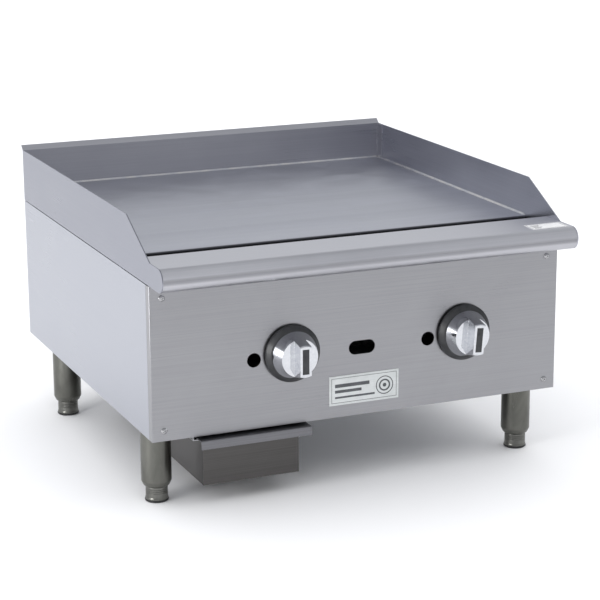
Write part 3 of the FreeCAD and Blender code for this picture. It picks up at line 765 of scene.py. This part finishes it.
def label():
    """Blank paper label on the rail, with a plain border and rule lines."""
    low, high = span("caution_label")
    bm = bmesh.new()
    add_box(bm, low, high, 0.08, 1)
    finish_mesh("rail_label", bm, "casing", PAPER, ["caution_label"])
    centre = (low + high) / 2
    bm = bmesh.new()
    half_x = (high.x - low.x) / 2
    half_y = (high.y - low.y) / 2
    z0, z1 = high.z - 0.05, high.z + 0.05
    add_frame(bm, half_x - 1.6, half_y - 1.6, 0.7, z0 - centre.z, z1 - centre.z)
    bm.transform(Matrix.Translation(centre))
    for x0, x1, y in ((-22, -8, 7), (-22, -11, 2), (-22, -8, -3), (-22, -12, -8)):
        add_box(bm, (centre.x + x0, centre.y + y - 1.1, z0), (centre.x + x1, centre.y + y + 1.1, z1))
    finish_mesh("rail_label_print", bm, "casing", PAPER_INK)


legs()
screw_heads()
knobs()
weld_bead()
badge()
label()


# ------------------------------------------------------------------ CAD nodes that stay

# material, width of the rounded edges, and the nodes that get them
FINISH = (
    (PANEL_STEEL_PAINTED_SHADE, 0.35, ["front_panel", "grease_trough"]),
    (RAIL_STEEL, 0.35, ["front_rail"]),
    (BACK_STEEL, 0.35, ["back_splash"]),
    (SIDE_STEEL, 0.35, ["side_panel_left", "side_panel_right"]),
    (SPLASH_LEFT_PAINTED_SHADE, 0.35, ["splash_left"]),
    (SPLASH_RIGHT_PAINTED_LIGHT, 0.35, ["splash_right"]),
    (PLATE, 0.5, ["griddle_plate"]),
    (GALVANISED, 0.25, [
        "rear_panel", "bottom_pan", "heat_shield", "plate_support_front", "plate_support_rear", "burner_rest",
        "manifold_brackets", "drawer_runner_left", "drawer_runner_right", "leg_mount_plates",
    ]),
    (GALVANISED, 0, ["drain_chute"]),
    (BURNER, 0, ["burner_left", "burner_right", "air_shutter_left", "air_shutter_right"]),
    (PIPE, 0, ["manifold_pipe", "supply_pipe", "supply_elbow", "manifold_plug"]),
    (VALVE, 0.5, ["gas_valve_left", "gas_valve_right"]),
    (VALVE, 0, ["valve_stem_left", "valve_stem_right"]),
    (BRASS, 0.3, ["gas_jet_left", "gas_jet_right", "pilot_valve_left", "pilot_valve_right"]),
    (TUBE, 0, ["pilot_burner_left", "pilot_burner_right"]),
    (FASTENER, 0.4, ["leg_nuts"]),
    (DRAWER_PAINTED_SHADE, 0.35, ["grease_drawer"]),
    (DRAWER_LIP_PAINTED_SHADE, 0.3, ["drawer_pull"]),
)


ROUND_ABOVE = 35.0    # degrees that an edge turns


def dress(node, material, edge):
    """Gives a CAD node its material and rounds its sharp edges."""
    piece = nodes[node]
    for place in piece.material_slots:
        place.material = material
    if edge:
        weld = piece.modifiers.new("weld", "WELD")
        weld.merge_threshold = 1e-6
        bevel = piece.modifiers.new("edges", "BEVEL")
        bevel.width = edge * MM
        bevel.segments = 2
        bevel.limit_method = "ANGLE"
        bevel.angle_limit = math.radians(ROUND_ABOVE)
        bevel.harden_normals = True
        bevel.use_clamp_overlap = True


for material, edge, members in FINISH:
    for node in members:
        dress(node, material, edge)


# ------------------------------------------------------------------ stage

def floor():
    """Plain pale floor."""
    mesh = bpy.data.meshes.new("floor")
    half = 14.0
    corners = [(-half, -half, 0), (half, -half, 0), (half, half, 0), (-half, half, 0)]
    mesh.from_pydata(corners, [], [(0, 1, 2, 3)])
    plane = bpy.data.objects.new("floor", mesh)
    scene.collection.objects.link(plane)
    paint = Paint("floor", 0.0)
    paint.colour(paint.blend(paint.noise((1.2, 1.2, 1.2)), (0.86, 0.86, 0.87), (0.88, 0.88, 0.89)))
    paint.shader.inputs["Roughness"].default_value = 0.9
    mesh.materials.append(paint.material)


def softbox(name, location, target, size, power):
    """A large rectangular lamp that points at a target and stays out of the camera's view."""
    light = bpy.data.lights.new(name, "AREA")
    light.shape = "RECTANGLE"
    light.size, light.size_y = size
    light.energy = power
    lamp = bpy.data.objects.new(name, light)
    scene.collection.objects.link(lamp)
    lamp.location = location
    lamp.rotation_euler = (Vector(target) - Vector(location)).to_track_quat("-Z", "Y").to_euler()
    lamp.visible_camera = False
    return lamp


floor()
ceiling = softbox("ceiling", (0.0, 2.0, 3.5), (0, 2.0, 0), (13.0, 13.0), 560)
ceiling.visible_glossy = False
softbox("left_strip", (-2.4, -0.9, 0.55), (0, -0.2, 0.1), (0.7, 1.0), 26)


FRONT_WALL, BACK_WALL = 0.60, 0.90   # strength near the horizon
FRONT_TOP, BACK_TOP = 0.62, 0.50     # strength overhead


def studio_world():
    """Pale to the camera. In reflections: a bright band behind, a softer one in front, and a dark top."""
    world = bpy.data.worlds.new("studio")
    scene.world = world
    world.use_nodes = True
    tree = world.node_tree
    tree.nodes.clear()

    def add(kind, **settings):
        node = tree.nodes.new(kind)
        for key, value in settings.items():
            setattr(node, key, value)
        return node

    def smooth(value, start, end, low, high):
        node = add("ShaderNodeMapRange", interpolation_type="SMOOTHSTEP")
        for socket, number in zip(node.inputs[1:5], (start, end, low, high)):
            socket.default_value = number
        tree.links.new(value, node.inputs["Value"])
        return node.outputs["Result"]

    axes = add("ShaderNodeSeparateXYZ")
    tree.links.new(add("ShaderNodeTexCoord").outputs["Generated"], axes.inputs["Vector"])
    wall = smooth(axes.outputs["Y"], -0.5, 0.6, FRONT_WALL, BACK_WALL)
    top = smooth(axes.outputs["Y"], -0.2, 0.5, FRONT_TOP, BACK_TOP)
    band = smooth(axes.outputs["Z"], 0.25, 0.65, 0.0, 1.0)
    level = add("ShaderNodeMix")
    tree.links.new(band, level.inputs["Factor"])
    tree.links.new(wall, level.inputs["A"])
    tree.links.new(top, level.inputs["B"])
    dim = add("ShaderNodeBackground")
    dim.inputs["Color"].default_value = (0.95, 0.97, 1.0, 1)
    tree.links.new(level.outputs["Result"], dim.inputs["Strength"])
    pale = add("ShaderNodeBackground")
    pale.inputs["Color"].default_value = (0.97, 0.97, 0.975, 1)
    choose = add("ShaderNodeMixShader")
    tree.links.new(add("ShaderNodeLightPath").outputs["Is Camera Ray"], choose.inputs["Fac"])
    tree.links.new(dim.outputs["Background"], choose.inputs[1])
    tree.links.new(pale.outputs["Background"], choose.inputs[2])
    tree.links.new(choose.outputs["Shader"], add("ShaderNodeOutputWorld").inputs["Surface"])


studio_world()
scene.view_settings.view_transform = "Standard"

camera_data = bpy.data.cameras.new("camera")
camera_data.lens = 119.09
camera_data.sensor_width = 36.0
camera_data.shift_x = -0.03018
camera_data.shift_y = 0.00972
camera_data.clip_start = 0.05
camera_data.clip_end = 60.0
camera = bpy.data.objects.new("camera", camera_data)
camera.location = (-1.09897, -2.65605, 0.95730)
camera.rotation_euler = [math.radians(a) for a in (75.0524, 0.1661, -23.5995)]
scene.collection.objects.link(camera)
scene.camera = camera
